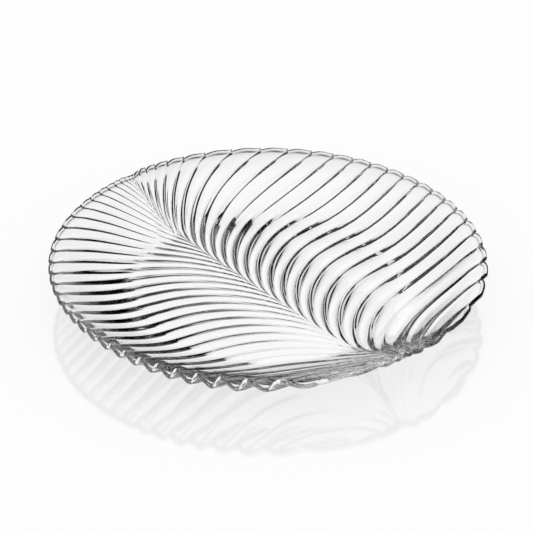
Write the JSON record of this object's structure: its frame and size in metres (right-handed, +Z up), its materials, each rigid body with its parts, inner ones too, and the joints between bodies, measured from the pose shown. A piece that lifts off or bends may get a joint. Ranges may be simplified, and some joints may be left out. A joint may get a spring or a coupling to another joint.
{
  "type": "serving plate",
  "caption": "Round clear pressed-glass serving plate: shallow dish, raised scalloped rim and a leaf pattern of scooped ribs that sweep from a midrib to the rim.",
  "frame": {"origin": "centre of the flat resting face, on the plate's axis, at the level of the table", "axes": "+Z up along the plate's axis; +Y along the leaf's midrib toward its tip; +X to the right of the midrib"},
  "size_m": [0.3236, 0.3246, 0.0337],
  "materials": {
    "clear_glass": "polished clear pressed glass"
  },
  "bodies": {
    "root": {"plate": "clear_glass"}
  },
  "joints": []
}
